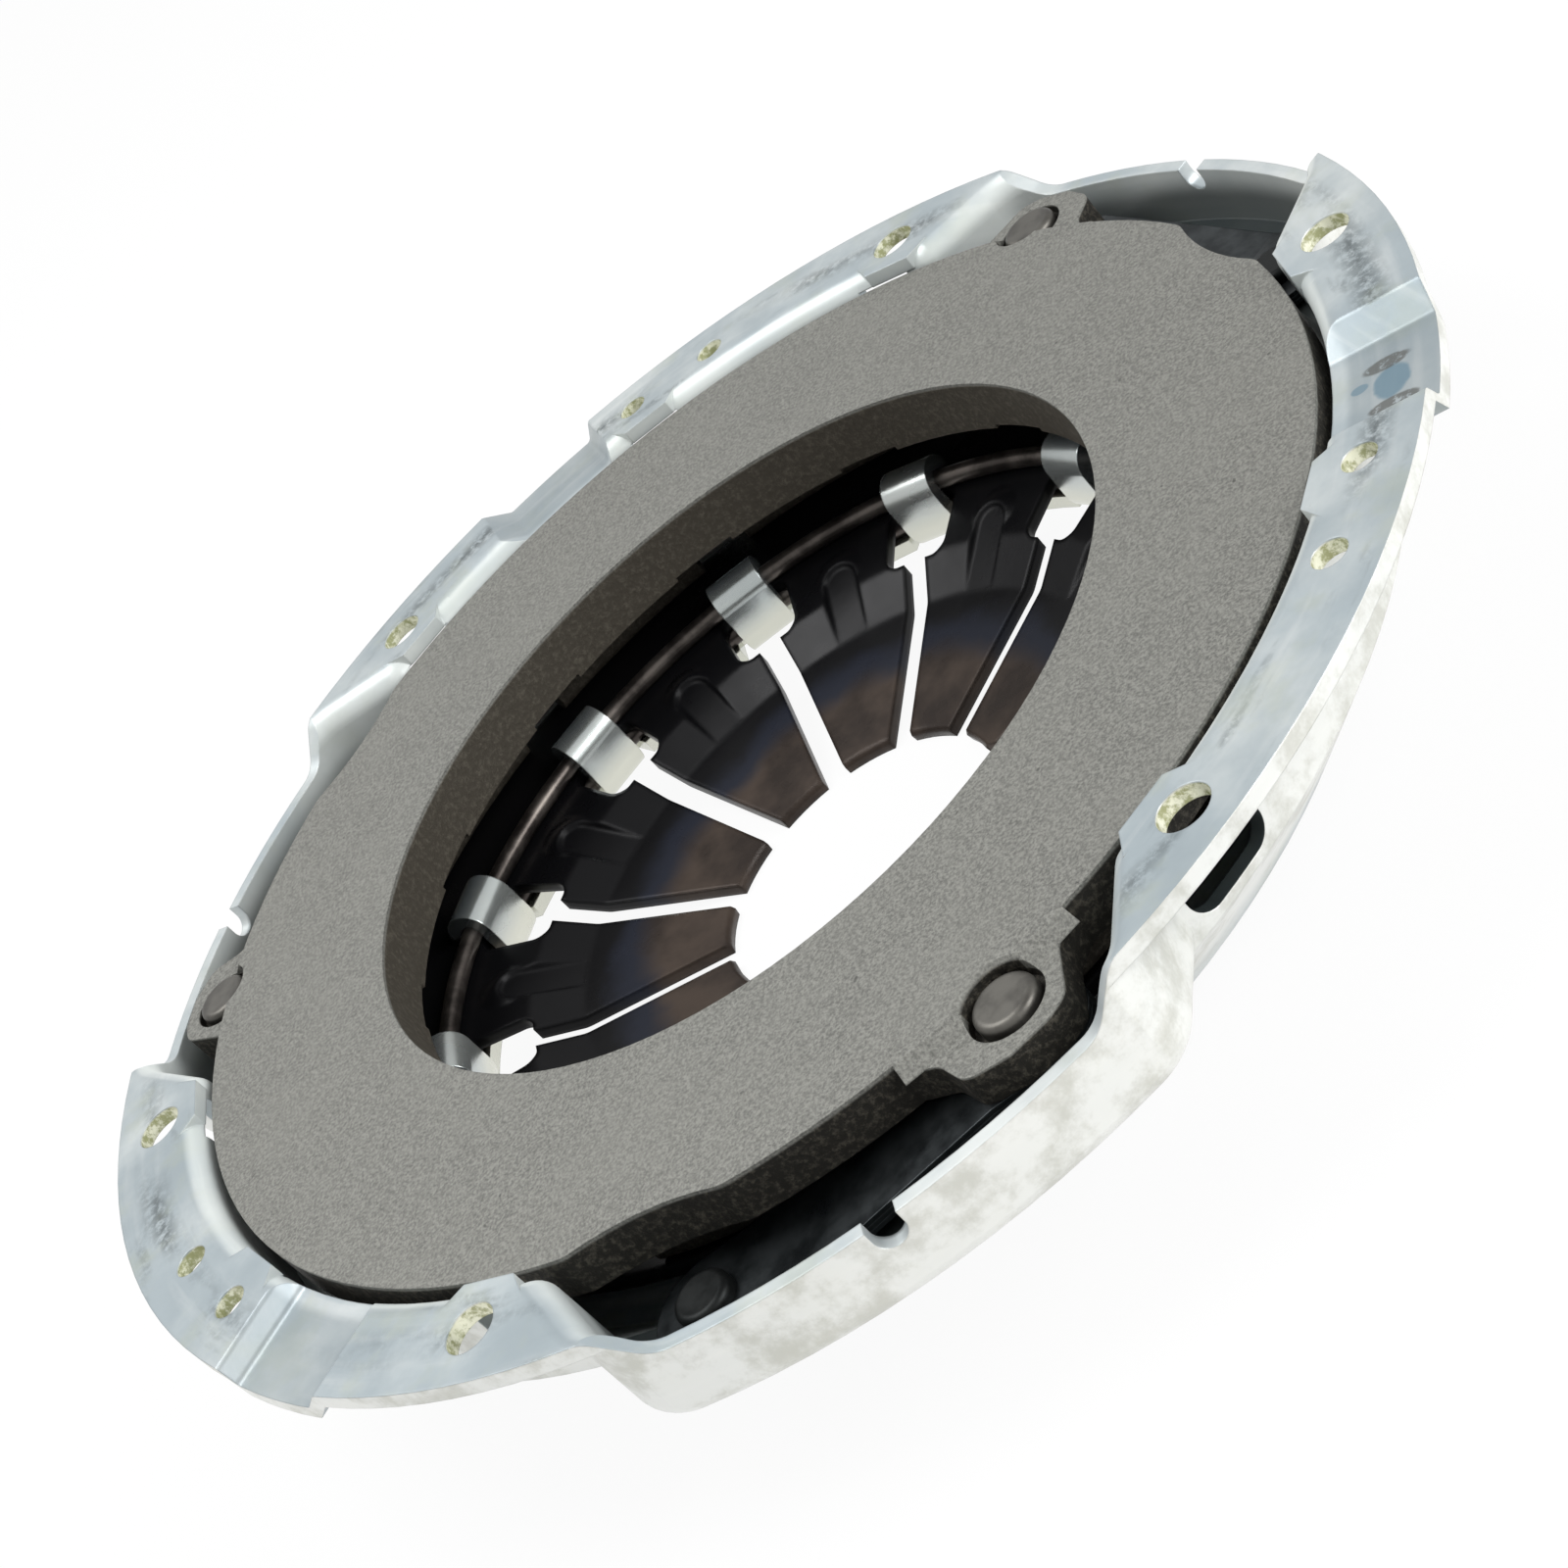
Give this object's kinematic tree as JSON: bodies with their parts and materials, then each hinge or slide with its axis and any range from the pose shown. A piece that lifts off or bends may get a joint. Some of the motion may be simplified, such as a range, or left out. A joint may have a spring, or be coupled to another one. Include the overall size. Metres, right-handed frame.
{
  "type": "clutch pressure plate",
  "caption": "Diaphragm spring clutch cover with a cast pressure plate on leaf straps, curled hooks over wire fulcrum rings, and a bolted flange with pockets.",
  "frame": {"origin": "on the clutch axis, level with the undersides of the diaphragm fingers' tips, on which the part rests", "axes": "+Z along the clutch axis from the cover's back to the friction face, +X through a bolt hole"},
  "size_m": [0.264, 0.264, 0.0424],
  "materials": {
    "zinc_plated_steel": "bright zinc plating, satin",
    "wire_steel": "dark drawn wire",
    "blackened_spring_steel": "black oil finish, brown heat tint at the tips",
    "cast_iron": "ground face, raw cast sides",
    "rivet_steel": "plain steel",
    "strap_steel": "dark spring steel"
  },
  "bodies": {
    "cover": {"cover": "zinc_plated_steel", "fulcrum_ring_front": "wire_steel", "fulcrum_ring_back": "wire_steel", "diaphragm_spring": "blackened_spring_steel", "cover_rivets": "rivet_steel", "strap_spacers": "rivet_steel", "strap_1_leaf_1": "strap_steel", "strap_1_leaf_2": "strap_steel", "strap_1_leaf_3": "strap_steel", "strap_2_leaf_1": "strap_steel", "strap_2_leaf_2": "strap_steel", "strap_2_leaf_3": "strap_steel", "strap_3_leaf_1": "strap_steel", "strap_3_leaf_2": "strap_steel", "strap_3_leaf_3": "strap_steel"},
    "plate": {"pressure_plate": "cast_iron", "lug_rivets": "rivet_steel", "lug_washers": "rivet_steel"}
  },
  "joints": [
    {"name": "plate_travel", "type": "slide", "parent": "cover", "child": "plate", "axis": [0, 0, 1], "range_m": [-0.0072, 0], "stiffness_N_per_m": 200000, "deforming": ["diaphragm_spring", "strap_1_leaf_1", "strap_1_leaf_2", "strap_1_leaf_3", "strap_2_leaf_1", "strap_2_leaf_2", "strap_2_leaf_3", "strap_3_leaf_1", "strap_3_leaf_2", "strap_3_leaf_3"]}
  ]
}
